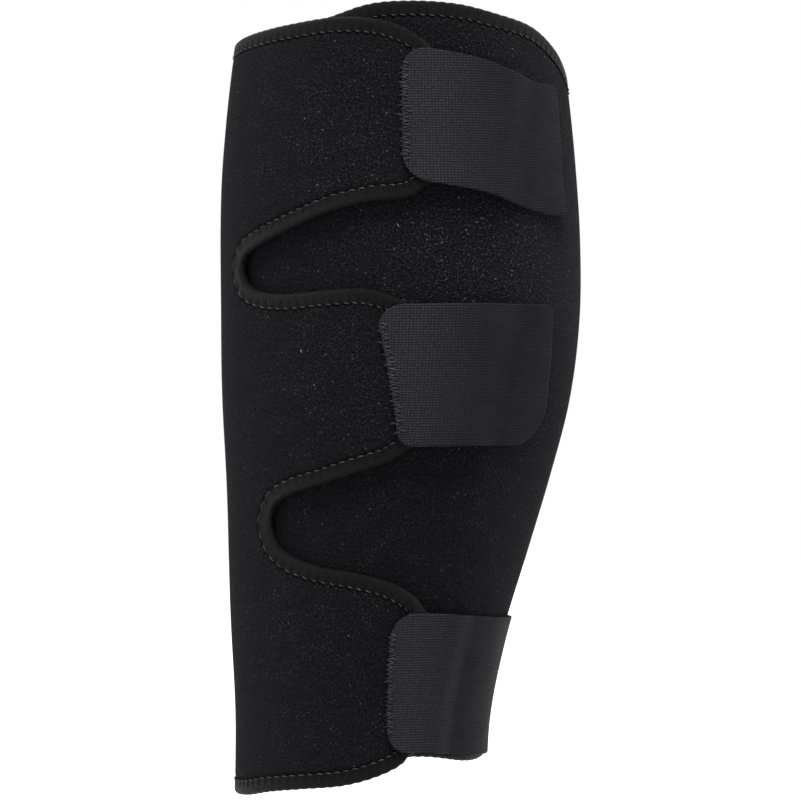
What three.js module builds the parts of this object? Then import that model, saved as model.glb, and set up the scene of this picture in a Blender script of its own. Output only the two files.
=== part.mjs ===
// A wrap-around calf sleeve of black neoprene, in the form that it has round a leg and open at both ends. One
// panel goes round the leg once and a part of a second turn. Two notches cut its outer end into three tabs, a
// folded tape covers its whole edge, and a hook-tape strap is sewn on each tab and holds it to the turn below.
// Millimetres, +Z up, +X towards the calf muscle, -X towards the shin, -Y towards the side where it closes.
// The origin is on the leg's axis, halfway up the sleeve.
import * as THREE from "three";

// The leg that the sleeve is shaped for
const calfDepth = 130;
const calfWidth = 114;
const backRoundness = 0.1; // how much fuller the calf muscle is than the shin

// Panel
const sleeveHeight = 310;
const panelThickness = 3;
const innerEndAngle = 160;
const climbAngle = 20; // the second turn climbs over the inner end within this angle
const climbMargin = 4; // and is clear of it this many degrees before

// Folded tape on the panel's edge, which is pressed thin under it
const bindingWidth = 5.6;
const bindingProud = 0.2; // how far the tape stands above each face of the panel
const tapeThickness = 0.6;
const shoulderWidth = 0.8; // where the panel swells back to its full thickness
const cornerRadius = bindingWidth * 1.7;

// Straps
const strapWidth = 53;
const strapThickness = 1.3;
const strapDropLength = 9; // a strap comes down from its tab to the turn below within this length
const strapDropDelay = 1; // and starts this far past the tab's end

// Gaps between the pieces
const clearance = 0.3; // between the tape and the panel's edge, and between a strap and its tab
const turnClearance = 0.8; // between the tapes of the two turns
const strapClearance = 0.6; // between a strap and the turn below

// Heights are shares of the sleeve's height from its middle. Shin and calf are how far the leg reaches to the
// front and back of its axis, as shares of the calf's depth. Side is half its width, as a share of the calf's.
const legSections = [
  { height: -0.5, shin: 0.438, calf: 0.222, side: 0.333 },
  { height: -0.4, shin: 0.44, calf: 0.234, side: 0.346 },
  { height: -0.3, shin: 0.45, calf: 0.282, side: 0.385 },
  { height: -0.2, shin: 0.458, calf: 0.354, side: 0.425 },
  { height: -0.1, shin: 0.467, calf: 0.425, side: 0.462 },
  { height: 0, shin: 0.476, calf: 0.487, side: 0.49 },
  { height: 0.1, shin: 0.481, calf: 0.517, side: 0.5 },
  { height: 0.2, shin: 0.482, calf: 0.518, side: 0.496 },
  { height: 0.3, shin: 0.474, calf: 0.501, side: 0.48 },
  { height: 0.4, shin: 0.452, calf: 0.475, side: 0.457 },
  { height: 0.5, shin: 0.415, calf: 0.445, side: 0.435 },
];

// The panel's rims. Angles are degrees round the leg, anticlockwise from above, with 180 at the shin, 270 at
// the closing side and 360 at the calf. They run on past 540, where the second turn passes the shin.
const topRim = [
  { angle: innerEndAngle, height: 0.43 },
  { angle: 200, height: 0.436 },
  { angle: 225, height: 0.45 },
  { angle: 243, height: 0.467 },
  { angle: 257, height: 0.48 },
  { angle: 272, height: 0.483 },
  { angle: 290, height: 0.4795 },
  { angle: 306, height: 0.4695 },
  { angle: 324, height: 0.457 },
  { angle: 340, height: 0.434 },
  { angle: 358, height: 0.403 },
  { angle: 385, height: 0.393 },
  { angle: 430, height: 0.425 },
  { angle: 480, height: 0.442 },
  { angle: 540, height: 0.444 },
  { angle: 564, height: 0.451 },
  { angle: 588, height: 0.4585 },
  { angle: 606, height: 0.4635 },
  { angle: 620, height: 0.4605 },
  { angle: 629, height: 0.4515 },
  { angle: 637, height: 0.435 },
];
const bottomRim = [
  { angle: innerEndAngle, height: -0.46 },
  { angle: 220, height: -0.452 },
  { angle: 270, height: -0.443 },
  { angle: 300, height: -0.441 },
  { angle: 330, height: -0.45 },
  { angle: 360, height: -0.45 },
  { angle: 400, height: -0.455 },
  { angle: 450, height: -0.472 },
  { angle: 500, height: -0.49 },
  { angle: 540, height: -0.496 },
  { angle: 564, height: -0.494 },
  { angle: 584, height: -0.486 },
  { angle: 602, height: -0.4805 },
  { angle: 622, height: -0.4745 },
  { angle: 637, height: -0.463 },
  { angle: 648, height: -0.448 },
];

// Each notch's edge from its rounded end, first along the tab above it, then along the tab below it
const notches = [
  {
    end: { angle: 568.5, height: 0.16 },
    above: [
      { angle: 571, height: 0.175 },
      { angle: 579, height: 0.188 },
      { angle: 593, height: 0.207 },
      { angle: 607, height: 0.226 },
      { angle: 620, height: 0.237 },
      { angle: 632, height: 0.242 },
    ],
    below: [
      { angle: 571, height: 0.142 },
      { angle: 578, height: 0.131 },
      { angle: 590, height: 0.127 },
      { angle: 605, height: 0.131 },
      { angle: 618, height: 0.132 },
      { angle: 627, height: 0.122 },
    ],
  },
  {
    end: { angle: 583.5, height: -0.154 },
    above: [
      { angle: 586, height: -0.133 },
      { angle: 592, height: -0.12 },
      { angle: 606, height: -0.105 },
      { angle: 618, height: -0.091 },
      { angle: 629, height: -0.077 },
    ],
    below: [
      { angle: 586, height: -0.175 },
      { angle: 592, height: -0.19 },
      { angle: 605, height: -0.204 },
      { angle: 622, height: -0.213 },
      { angle: 636, height: -0.225 },
      { angle: 646, height: -0.243 },
    ],
  },
];

// Each strap, and the tab under it, which has the strap's width from its neck to its end. The course is the
// strap's middle line. Its sewn edge is on the left, and its free end on the right. Its width and the radii
// of its corners are shares of the named width.
const straps = [
  {
    name: "strap_top",
    width: 0.953,
    neckTop: 641,
    neckBottom: 639,
    sewn: { top: 630, bottom: 630, topCorner: 0.17, bottomCorner: 0.17 },
    tabEnd: { top: 665, bottom: 656 },
    free: { top: 694, bottom: 690, topCorner: 0.057, bottomCorner: 0.057 },
    course: [
      { angle: 630, height: 0.345 },
      { angle: 641, height: 0.34 },
      { angle: 655, height: 0.33 },
      { angle: 667, height: 0.317 },
      { angle: 680, height: 0.306 },
      { angle: 694, height: 0.303 },
    ],
  },
  {
    name: "strap_middle",
    width: 1.01,
    neckTop: 632,
    neckBottom: 636,
    sewn: { top: 622.5, bottom: 630, topCorner: 0.15, bottomCorner: 0.13 },
    tabEnd: { top: 654, bottom: 651.5 },
    free: { top: 683, bottom: 686, topCorner: 0.075, bottomCorner: 0.264 },
    course: [
      { angle: 622, height: 0.026 },
      { angle: 650, height: 0.028 },
      { angle: 686, height: 0.028 },
    ],
  },
  {
    name: "strap_bottom",
    width: 1,
    neckTop: 652,
    neckBottom: 653,
    sewn: { top: 638, bottom: 640.5, topCorner: 0.17, bottomCorner: 0.17 },
    tabEnd: { top: 662, bottom: 660 },
    free: { top: 744, bottom: 744, topCorner: 0.094, bottomCorner: 0.094 },
    course: [
      { angle: 638, height: -0.347 },
      { angle: 656, height: -0.348 },
      { angle: 672, height: -0.352 },
      { angle: 700, height: -0.358 },
      { angle: 744, height: -0.361 },
    ],
  },
];

// How finely the panel is divided: columns in its first turn and in the tabs, columns between the first turn
// and each notch's end, and rows in each tab
const turnColumns = 52;
const tabColumns = 18;
const notchColumns = [2, 4];
const tabRows = 4;
const notchCrowding = 1.25; // points lie closer together at a notch's round end

const black = { color: 0x1c1c20, roughness: 0.85, metalness: 0 };
const tapeBlack = { color: 0x18181a, roughness: 0.8, metalness: 0 };
const hookGrey = { color: 0x303034, roughness: 0.7, metalness: 0 };

// The panel under the tape, and the second turn's distance from the leg
const pressedThickness = panelThickness + 2 * (bindingProud - tapeThickness - clearance);
const secondTurnLift = panelThickness + 2 * bindingProud + turnClearance;

// The panel is laid out flat, x along the wrap and z up, before it is put round the leg. Its flat lengths are
// those at the leg's girth at the calf, taken as an ellipse.
const legReach = calfDepth / 2;
const legHalfWidth = calfWidth / 2;
const legGirth =
  Math.PI *
  (3 * (legReach + legHalfWidth) - Math.sqrt((3 * legReach + legHalfWidth) * (legReach + 3 * legHalfWidth)));
const millimetresPerDegree = legGirth / 360;
const alongWrap = (angle) => angle * millimetresPerDegree;
const angleOf = (point) => point.x / millimetresPerDegree;
const flat = (row) => ({ x: alongWrap(row.angle), z: row.height * sleeveHeight });

const mix = (from, to, share) => from + (to - from) * share;
const mixPoint = (a, b, share) => ({ x: mix(a.x, b.x, share), z: mix(a.z, b.z, share) });
const mixSides = (a, b, share) => ({ top: mix(a.top, b.top, share), bottom: mix(a.bottom, b.bottom, share) });
const smoothStep = (share) => THREE.MathUtils.smoothstep(share, 0, 1);

// Reads a column of a table between its rows, with a smooth curve through them
function readTable(rows, along, column, at) {
  const last = rows.length - 1;
  let row = 0;
  while (row < last - 1 && rows[row + 1][along] < at) row += 1;
  const slope = (index) => {
    const before = rows[Math.max(index - 1, 0)];
    const after = rows[Math.min(index + 1, last)];
    return (after[column] - before[column]) / (after[along] - before[along]);
  };
  const span = rows[row + 1][along] - rows[row][along];
  const t = THREE.MathUtils.clamp((at - rows[row][along]) / span, 0, 1);
  const bend = span * t * (t - 1) * ((t - 1) * slope(row) + t * slope(row + 1));
  return mix(rows[row][column], rows[row + 1][column], smoothStep(t)) + bend;
}

// How far the panel's inner face lies from the leg: nothing in the first turn, then the second turn's lift
function turnLift(angle) {
  const climbEnd = innerEndAngle + 360 - climbMargin;
  return secondTurnLift * smoothStep((angle - climbEnd + climbAngle) / climbAngle);
}

// The real place of a flat point, at a distance from the leg
function wrapPoint(point, lift) {
  const angle = THREE.MathUtils.degToRad(angleOf(point));
  const read = (column) => readTable(legSections, "height", column, point.z / sleeveHeight);
  const shin = read("shin") * calfDepth;
  const calf = read("calf") * calfDepth;
  const side = read("side") * calfWidth;
  const reach = (shin + calf) / 2;
  const [cos, sin] = [Math.cos(angle), Math.sin(angle)];
  const squareToSkin = [side * (cos + backRoundness * Math.cos(2 * angle)), reach * sin];
  const outwards = new THREE.Vector2(...squareToSkin).normalize();
  return new THREE.Vector3(
    (calf - shin) / 2 + reach * cos + outwards.x * lift,
    side * sin * (1 + backRoundness * cos) + outwards.y * lift,
    point.z,
  );
}

// The same at a distance from the middle of the panel's thickness
const panelPoint = (point, lift) => wrapPoint(point, turnLift(angleOf(point)) + panelThickness / 2 + lift);

// How many real millimetres a flat millimetre along the wrap is at a point
function stretchAt(point) {
  const step = 0.5;
  const before = panelPoint({ x: point.x - step, z: point.z }, 0);
  const after = panelPoint({ x: point.x + step, z: point.z }, 0);
  return before.distanceTo(after) / (2 * step);
}

// A smooth curve through flat points, with its length and its point at a distance
function curveThrough(points) {
  const corners = points.map((point) => new THREE.Vector3(point.x, point.z, 0));
  const curve = new THREE.CatmullRomCurve3(corners, false, "centripetal");
  curve.arcLengthDivisions = 600;
  const length = curve.getLength();
  const at = (distance) => {
    const { x, y } = curve.getPointAt(THREE.MathUtils.clamp(distance / length, 0, 1));
    return { x, z: y };
  };
  return { length, at };
}

const reversed = (curve) => ({ length: curve.length, at: (distance) => curve.at(curve.length - distance) });

// The part of a curve that follows the place where it passes a point
function curveFrom(curve, point) {
  const steps = 400;
  const distances = Array.from({ length: steps + 1 }, (_, step) => (curve.length * step) / steps);
  const miss = (distance) => Math.hypot(curve.at(distance).x - point.x, curve.at(distance).z - point.z);
  const lead = distances.reduce((best, distance) => (miss(distance) < miss(best) ? distance : best));
  return { length: curve.length - lead, at: (distance) => curve.at(lead + distance) };
}

// A strap's upper (1) or lower (-1) edge at an angle
const strapEdge = (strap, side, angle) => ({
  x: alongWrap(angle),
  z: readTable(strap.course, "angle", "height", angle) * sleeveHeight + (side * strap.width * strapWidth) / 2,
});

// The tab's edge under its strap, from its neck to its end
function tabEdge(strap, side) {
  const neck = side > 0 ? strap.neckTop : strap.neckBottom;
  const end = side > 0 ? strap.tabEnd.top : strap.tabEnd.bottom;
  return [0, 0.25, 1].map((share) => strapEdge(strap, side, mix(neck, end, share)));
}

// One side of a notch, from its round end to the tab's end, cut from a curve that also rounds the notch's end
function notchSide(notch, strap, side) {
  const [rows, otherRows] = side < 0 ? [notch.above, notch.below] : [notch.below, notch.above];
  const points = [otherRows[0], notch.end, ...rows].map(flat);
  return curveFrom(curveThrough([...points, ...tabEdge(strap, side)]), flat(notch.end));
}

// A quarter round from the end of one edge to the start of the next
function quarterRound(before, after) {
  const sharp = after.at(0);
  const start = before.at(before.length - cornerRadius);
  const finish = after.at(cornerRadius);
  const roundness = 0.55; // brings a cubic curve near a quarter circle
  const controls = [start, mixPoint(start, sharp, roundness), mixPoint(finish, sharp, roundness), finish];
  const curve = new THREE.CubicBezierCurve(...controls.map((point) => new THREE.Vector2(point.x, point.z)));
  return (share) => {
    const { x, y } = curve.getPoint(share);
    return { x, z: y };
  };
}

const mirrored = (round) => (share) => round(1 - share);

// Points of an edge from the middle of the round at its start to the middle of the round at its end. Crowding
// above 1 sets them closer together at the start.
function edgePoints(curve, count, { startRound, endRound, crowding = 1 }) {
  const roundSteps = count > tabRows ? 2 : 1;
  const first = startRound ? roundSteps : 0;
  const last = endRound ? count - roundSteps : count;
  const from = startRound ? cornerRadius : 0;
  const to = endRound ? curve.length - cornerRadius : curve.length;
  return Array.from({ length: count + 1 }, (_, index) => {
    if (index < first) return startRound(0.5 + (0.5 * index) / roundSteps);
    if (index > last) return endRound((0.5 * (index - last)) / roundSteps);
    return curve.at(mix(from, to, ((index - first) / (last - first)) ** crowding));
  });
}

// The panel's outline as a closed loop, clockwise from outside, so that the panel lies on its right. Places
// says where in the loop each stretch starts.
function panelOutline() {
  const [upper, , lower] = straps;
  const top = curveThrough([...topRim.map(flat), ...tabEdge(upper, 1)]);
  const bottom = curveThrough([...bottomRim.map(flat), ...tabEdge(lower, -1)]);
  const back = curveThrough([flat(bottomRim[0]), flat(topRim[0])]);
  const above = notches.map((notch, k) => notchSide(notch, straps[k], -1));
  const below = notches.map((notch, k) => notchSide(notch, straps[k + 1], 1));
  const tabTops = [top, ...below];
  const tabBottoms = [...above, bottom];
  const ends = straps.map((_, k) =>
    curveThrough([tabTops[k].at(tabTops[k].length), tabBottoms[k].at(tabBottoms[k].length)]),
  );
  const backBottom = quarterRound(reversed(bottom), back);
  const backTop = quarterRound(back, top);
  const endTops = ends.map((end, k) => quarterRound(tabTops[k], end));
  const endBottoms = ends.map((end, k) => quarterRound(end, reversed(tabBottoms[k])));
  const rimColumns = turnColumns + tabColumns;
  const notchPoints = (curve, k, endRound) =>
    edgePoints(curve, tabColumns - notchColumns[k], { endRound, crowding: notchCrowding });
  const endPoints = (k) => edgePoints(ends[k], tabRows, { startRound: endTops[k], endRound: endBottoms[k] });
  const bottomPoints = edgePoints(bottom, rimColumns, {
    startRound: mirrored(backBottom),
    endRound: mirrored(endBottoms[2]),
  });
  const stretches = {
    back: edgePoints(back, 3 * tabRows, { startRound: backBottom, endRound: backTop }),
    top: edgePoints(top, rimColumns, { startRound: backTop, endRound: endTops[0] }),
    end0: endPoints(0),
    above0: notchPoints(above[0], 0, mirrored(endBottoms[0])).reverse(),
    below0: notchPoints(below[0], 0, endTops[1]),
    end1: endPoints(1),
    above1: notchPoints(above[1], 1, mirrored(endBottoms[1])).reverse(),
    below1: notchPoints(below[1], 1, endTops[2]),
    end2: endPoints(2),
    bottom: bottomPoints.reverse(),
  };
  const loop = [];
  const places = {};
  Object.entries(stretches).forEach(([name, points]) => {
    places[name] = { start: loop.length, steps: points.length - 1 };
    loop.push(...points.slice(0, -1));
  });
  return { loop, places };
}

// For each point of the loop, the flat step that goes one real millimetre into the panel
function inwardSteps(loop) {
  return loop.map((point, index) => {
    const before = loop[(index - 1 + loop.length) % loop.length];
    const after = loop[(index + 1) % loop.length];
    const stretch = stretchAt(point);
    const direction = (a, b) => new THREE.Vector2((b.x - a.x) * stretch, b.z - a.z).normalize();
    const leaving = direction(point, after);
    const along = direction(before, point).add(leaving).normalize();
    const miter = 1 / Math.max(along.dot(leaving), 0.5);
    return { x: (along.y * miter) / stretch, z: -along.x * miter };
  });
}

const inwards = (point, step, distance) => ({
  x: point.x + step.x * distance,
  z: point.z + step.z * distance,
});

// A grid between four edges, which it keeps as they are. The sides run upwards, and rows from left to right.
function gridBetween(bottom, top, left, right) {
  const columns = bottom.length - 1;
  const rows = left.length - 1;
  return left.map((_, row) =>
    bottom.map((__, column) => {
      if (row === 0) return bottom[column];
      if (row === rows) return top[column];
      if (column === 0) return left[row];
      if (column === columns) return right[row];
      const [u, v] = [column / columns, row / rows];
      const across = mixPoint(left[row], right[row], u);
      const upwards = mixPoint(bottom[column], top[column], v);
      const corners = mixPoint(mixPoint(bottom[0], bottom[columns], u), mixPoint(top[0], top[columns], u), v);
      return { x: across.x + upwards.x - corners.x, z: across.z + upwards.z - corners.z };
    }),
  );
}

const gridFaces = (grid) =>
  grid.slice(0, -1).flatMap((row, r) =>
    row.slice(0, -1).map((point, c) => [point, row[c + 1], grid[r + 1][c + 1], grid[r + 1][c]]),
  );

// Points from one point to another, both kept as they are
const lineBetween = (a, b, steps) => [
  a,
  ...Array.from({ length: steps - 1 }, (_, index) => mixPoint(a, b, (index + 1) / steps)),
  b,
];

// One closed body from vertices and four-sided faces, with its faces turned outwards
function closedMesh(name, vertices, faces, material) {
  const triangles = faces.flatMap(([a, b, c, d]) => [
    [a, b, c],
    [a, c, d],
  ]);
  const volume = triangles.reduce((sum, [a, b, c]) => {
    const across = new THREE.Vector3().crossVectors(vertices[b], vertices[c]);
    return sum + vertices[a].dot(across);
  }, 0);
  const outwards = volume < 0 ? triangles.map(([a, b, c]) => [a, c, b]) : triangles;
  const geometry = new THREE.BufferGeometry();
  const positions = vertices.flatMap((vertex) => vertex.toArray());
  geometry.setAttribute("position", new THREE.Float32BufferAttribute(positions, 3));
  geometry.setIndex(outwards.flat());
  geometry.computeVertexNormals();
  const mesh = new THREE.Mesh(geometry, new THREE.MeshStandardMaterial(material));
  mesh.name = name;
  return mesh;
}

// A wall with an outer (1) and an inner (-1) face from flat faces, closed by a strip along its free edges.
// Place gives the real place of a flat point on either face.
function wall(name, flatFaces, place, material) {
  const points = [...new Set(flatFaces.flat())];
  const numbers = new Map(points.map((point, number) => [point, number]));
  const vertices = [1, -1].flatMap((side) => points.map((point) => place(point, side)));
  const outer = flatFaces.map((face) => face.map((point) => numbers.get(point)));
  const inner = outer.map((face) => face.map((number) => number + points.length).reverse());
  const sidesOf = (face) => face.map((number, k) => [number, face[(k + 1) % face.length]]);
  const faceSides = outer.flatMap(sidesOf);
  const listed = new Set(faceSides.map(([a, b]) => `${a} ${b}`));
  const free = faceSides.filter(([a, b]) => !listed.has(`${b} ${a}`));
  const strip = free.map(([a, b]) => [b, a, a + points.length, b + points.length]);
  return closedMesh(name, vertices, [...outer, ...inner, ...strip], material);
}

const { loop: outline, places } = panelOutline();
const outlineSteps = inwardSteps(outline);

function panel() {
  const inset = (distance) => outline.map((point, i) => inwards(point, outlineSteps[i], distance));
  const pressedEdge = inset(tapeThickness + clearance);
  const pressedEnd = inset(bindingWidth + clearance);
  const shoulder = inset(bindingWidth + clearance + shoulderWidth);
  const next = (i) => (i + 1) % outline.length;
  const band = (outside, inside) =>
    outside.map((point, i) => [point, inside[i], inside[next(i)], outside[next(i)]]);

  // The inner part is a grid for the first turn and one for each tab, between stretches of the shoulder
  const stretch = ({ start, steps }) =>
    Array.from({ length: steps + 1 }, (_, i) => shoulder[(start + i) % outline.length]);
  const top = stretch(places.top);
  const bottom = stretch(places.bottom).reverse();
  const above = [stretch(places.above0).reverse(), stretch(places.above1).reverse()];
  const below = [stretch(places.below0), stretch(places.below1)];
  const ends = [places.end0, places.end1, places.end2].map((place) => stretch(place).reverse());

  // The column between the first turn and the tabs, with a point at the height of each notch
  const [columnTop, columnBottom] = [top[turnColumns], bottom[turnColumns]];
  const columnHeight = columnTop.z - columnBottom.z;
  const columnAt = (z) => mixPoint(columnBottom, columnTop, (z - columnBottom.z) / columnHeight);
  const notchStarts = below.map((points) => columnAt(points[0].z));
  const columnNodes = [columnBottom, notchStarts[1], notchStarts[0], columnTop];
  const columnParts = straps.map((_, k) => lineBetween(columnNodes[k], columnNodes[k + 1], tabRows));
  const column = [...columnParts[0], ...columnParts[1].slice(1), ...columnParts[2].slice(1)];

  const notchLines = above.map((points, k) => lineBetween(notchStarts[k], points[0], notchColumns[k]));
  const notchTops = above.map((points, k) => [...notchLines[k], ...points.slice(1)]);
  const notchBottoms = below.map((points, k) => [...notchLines[k], ...points.slice(1)]);
  const firstTurn = (points) => points.slice(0, turnColumns + 1);
  const grids = [
    gridBetween(firstTurn(bottom), firstTurn(top), stretch(places.back), column),
    gridBetween(notchTops[0], top.slice(turnColumns), columnParts[2], ends[0]),
    gridBetween(notchTops[1], notchBottoms[0], columnParts[1], ends[1]),
    gridBetween(bottom.slice(turnColumns), notchBottoms[1], columnParts[0], ends[2]),
  ];

  const pressed = new Set([...pressedEdge, ...pressedEnd]);
  const place = (point, side) =>
    panelPoint(point, (side * (pressed.has(point) ? pressedThickness : panelThickness)) / 2);
  const faces = [...band(pressedEdge, pressedEnd), ...band(pressedEnd, shoulder), ...grids.flatMap(gridFaces)];
  return wall("panel", faces, place, black);
}

// The folded tape: a U whose legs lie on both faces of the pressed edge
function binding() {
  const outside = panelThickness / 2 + bindingProud;
  const inside = outside - tapeThickness;
  const nose = tapeThickness * 1.2;
  const section = [
    { depth: bindingWidth, lift: outside },
    { depth: nose, lift: outside },
    { depth: 0, lift: outside - nose },
    { depth: 0, lift: nose - outside },
    { depth: nose, lift: -outside },
    { depth: bindingWidth, lift: -outside },
    { depth: bindingWidth, lift: -inside },
    { depth: tapeThickness, lift: -inside },
    { depth: tapeThickness, lift: inside },
    { depth: bindingWidth, lift: inside },
  ];
  const vertices = outline.flatMap((point, i) =>
    section.map(({ depth, lift }) => panelPoint(inwards(point, outlineSteps[i], depth), lift)),
  );
  const number = (i, k) => (i % outline.length) * section.length + (k % section.length);
  const faces = outline.flatMap((_, i) =>
    section.map((__, k) => [number(i, k), number(i + 1, k), number(i + 1, k + 1), number(i, k + 1)]),
  );
  return closedMesh("binding", vertices, faces, tapeBlack);
}

// The columns of a strap, from its sewn edge to its free end. Each goes from its lower to its upper edge.
function strapColumns(strap, dropStart, dropEnd) {
  const column = (angles, drops) => {
    const bottom = strapEdge(strap, -1, angles.bottom);
    const top = strapEdge(strap, 1, angles.top);
    bottom.z += drops.bottom;
    top.z -= drops.top;
    return lineBetween(bottom, top, tabRows);
  };
  const noDrops = { top: 0, bottom: 0 };
  const cornerDrop = (radius, share) => radius * (1 - Math.sqrt(1 - (1 - share) ** 2));
  const cornerShares = [0, 0.13, 0.5, 1];
  // Angles and drops at a share of the rounded corners of one end, which go on in a direction along the strap
  const endAngles = (end, share, direction) => ({
    top: end.top + (direction * share * end.topCorner * strapWidth) / millimetresPerDegree,
    bottom: end.bottom + (direction * share * end.bottomCorner * strapWidth) / millimetresPerDegree,
  });
  const endColumns = (end, direction) =>
    cornerShares.map((share) =>
      column(endAngles(end, share, direction), {
        top: cornerDrop(end.topCorner * strapWidth, share),
        bottom: cornerDrop(end.bottomCorner * strapWidth, share),
      }),
    );
  const between = (from, to, pitch) => {
    const count = Math.ceil(alongWrap(to.top - from.top) / pitch);
    return Array.from({ length: count }, (_, k) => column(mixSides(from, to, (k + 1) / count), noDrops));
  };
  const tabPitch = 6;
  const dropPitch = strapDropLength / 4;
  const turnPitch = 9;
  return [
    ...endColumns(strap.sewn, 1),
    ...between(endAngles(strap.sewn, 1, 1), dropStart, tabPitch),
    ...between(dropStart, dropEnd, dropPitch),
    ...between(dropEnd, endAngles(strap.free, 1, -1), turnPitch).slice(0, -1),
    ...endColumns(strap.free, -1).reverse(),
  ];
}

// A strap lies on its tab, comes down past the tab's end and goes on along the turn below
function strapMesh(strap) {
  const onTab = secondTurnLift + panelThickness + bindingProud + clearance;
  const onTurn = panelThickness + strapClearance;
  const later = (angles, distance) => ({
    top: angles.top + distance / millimetresPerDegree,
    bottom: angles.bottom + distance / millimetresPerDegree,
  });
  const dropStart = later(strap.tabEnd, strapDropDelay);
  const dropEnd = later(dropStart, strapDropLength);
  const columns = strapColumns(strap, dropStart, dropEnd);
  const rows = columns[0].map((_, row) => columns.map((points) => points[row]));
  const place = (point, side) => {
    const share = (point.z - strapEdge(strap, -1, angleOf(point)).z) / (strap.width * strapWidth);
    const start = mix(dropStart.bottom, dropStart.top, THREE.MathUtils.clamp(share, 0, 1));
    const fallen = smoothStep(alongWrap(angleOf(point) - start) / strapDropLength);
    return wrapPoint(point, mix(onTab, onTurn, fallen) + (side > 0 ? strapThickness : 0));
  };
  return wall(strap.name, gridFaces(rows), place, hookGrey);
}

const sleeve = new THREE.Group();
sleeve.add(panel(), binding(), ...straps.map(strapMesh));

export default sleeve;
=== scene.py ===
import bpy
import numpy as np
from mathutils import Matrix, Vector


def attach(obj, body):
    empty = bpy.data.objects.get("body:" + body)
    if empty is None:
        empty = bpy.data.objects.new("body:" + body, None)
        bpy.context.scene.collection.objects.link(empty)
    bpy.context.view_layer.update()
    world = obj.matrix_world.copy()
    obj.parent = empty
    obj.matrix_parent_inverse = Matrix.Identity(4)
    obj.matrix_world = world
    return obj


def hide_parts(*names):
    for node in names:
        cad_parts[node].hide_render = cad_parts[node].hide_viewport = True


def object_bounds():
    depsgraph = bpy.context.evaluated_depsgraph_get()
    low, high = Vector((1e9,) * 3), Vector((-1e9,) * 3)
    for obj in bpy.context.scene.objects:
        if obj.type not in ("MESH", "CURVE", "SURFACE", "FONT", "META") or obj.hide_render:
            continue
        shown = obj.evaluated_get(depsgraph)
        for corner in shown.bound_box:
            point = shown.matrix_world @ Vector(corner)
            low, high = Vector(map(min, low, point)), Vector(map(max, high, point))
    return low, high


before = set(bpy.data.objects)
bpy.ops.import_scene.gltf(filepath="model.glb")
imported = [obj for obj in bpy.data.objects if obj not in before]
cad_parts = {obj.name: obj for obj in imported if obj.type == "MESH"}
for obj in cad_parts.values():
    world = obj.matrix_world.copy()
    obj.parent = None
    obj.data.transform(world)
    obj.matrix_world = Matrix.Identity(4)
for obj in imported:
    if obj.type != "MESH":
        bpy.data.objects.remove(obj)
cad_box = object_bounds()
rng = np.random.default_rng(7)

# Lengths are in metres. Angles are degrees round the leg: 0 at the calf muscle, 180 at the shin, 270 on the
# side where the tabs close, and 360 more in the second turn.

# The leg that the sleeve is shaped for
CALF_DEPTH = 0.130
CALF_WIDTH = 0.114
BACK_ROUNDNESS = 0.1

# Panel. It climbs onto its own inner end over an angle, and is up a margin before that end.
SLEEVE_HEIGHT = 0.310
PANEL_THICKNESS = 0.003
INNER_END_ANGLE = 160
CLIMB_ANGLE = 20
CLIMB_MARGIN = 4

# Folded tape on the panel's edge
BINDING_WIDTH = 0.0056
BINDING_PROUD = 0.0002
TAPE_THICKNESS = 0.0006
CORNER_RADIUS = BINDING_WIDTH * 1.7

# The tape's section: its rounded border as (distance from the border, distance under the face), the fold's
# reach as a share of its half thickness, where the flat face meets it as a share of that, and the inside
BORDER_ROUND = ((0, 0.00045), (0.0001, 0.00015), (0.0005, 0))
FOLD_REACH = 0.9
FACE_START = 1.7
FOLD_POINTS = 9
INNER_BORDER = BINDING_WIDTH - 0.0002
INNER_FOLD = TAPE_THICKNESS * 1.4

# Where the panel swells back beside the tape
SWELL_START = BINDING_WIDTH + 0.00008
SWELL_END = BINDING_WIDTH + 0.002
SWELL_STEPS = (0, 0.12, 0.3, 0.55, 0.8, 1)
SWELL_FULLNESS = 0.8

# Straps. An edge's thickness is a share of the strap's.
STRAP_WIDTH = 0.053
STRAP_THICKNESS = 0.0013
STRAP_EDGE_ROUND = 0.0007
STRAP_EDGE_THICKNESS = 0.35
STRAP_DROP_LENGTH = 0.015
STRAP_DROP_DELAY = 0.001
CORNER_LIFT_REACH = 0.016

# Gaps between the pieces
CLEARANCE = 0.0003
TURN_CLEARANCE = 0.0008
STRAP_CLEARANCE = 0.0006

# Threads. A stitch rises and its ends sink by radii of the thread, and its ends are a share as thick.
THREAD_RADIUS = 0.00021
EDGE_THREAD_RADIUS = THREAD_RADIUS * 1.25
ZIGZAG_THREAD_RADIUS = THREAD_RADIUS * 1.15
LINT_RADIUS = 0.00011
THREAD_END = 0.35
THREAD_TAPER = 0.4
STITCH_FULLNESS = 0.6
EDGE_RISE, EDGE_SINK = 2.3, 0.9
ZIGZAG_RISE, ZIGZAG_SINK = 2.2, 0.8

# Stitches along the tape. Each is a dash beside the tape, and two legs to a hole in it. Dash and hole are
# placed by shares of the pitch. The hole is a pit, in which the legs end deeper than its floor.
EDGE_STITCH_PITCH = 0.0037
DASH_SHARE = 0.6
DASH_SLANT = 0.0002
HOLE_SHARE = 0.5 + DASH_SHARE / 2
STITCH_DEPTH = BINDING_WIDTH - 0.0011
PIT_DEPTH = 0.00048
PIT_REACH = 0.0009
LEG_SINK = 1.3
EDGE_WANDER = 0.00009

# What the edge stitches lie on, from the panel's face: the tape, and past it the nap
ON_TAPE = BINDING_PROUD - 0.0001
ON_NAP = -0.00005
NAP_START = BINDING_WIDTH + 0.0004

# How far each stitch draws the tape's outer edge in, and how far from that edge this fades
DRAW_IN = 0.00022
DRAW_IN_REACH = 0.001

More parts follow.
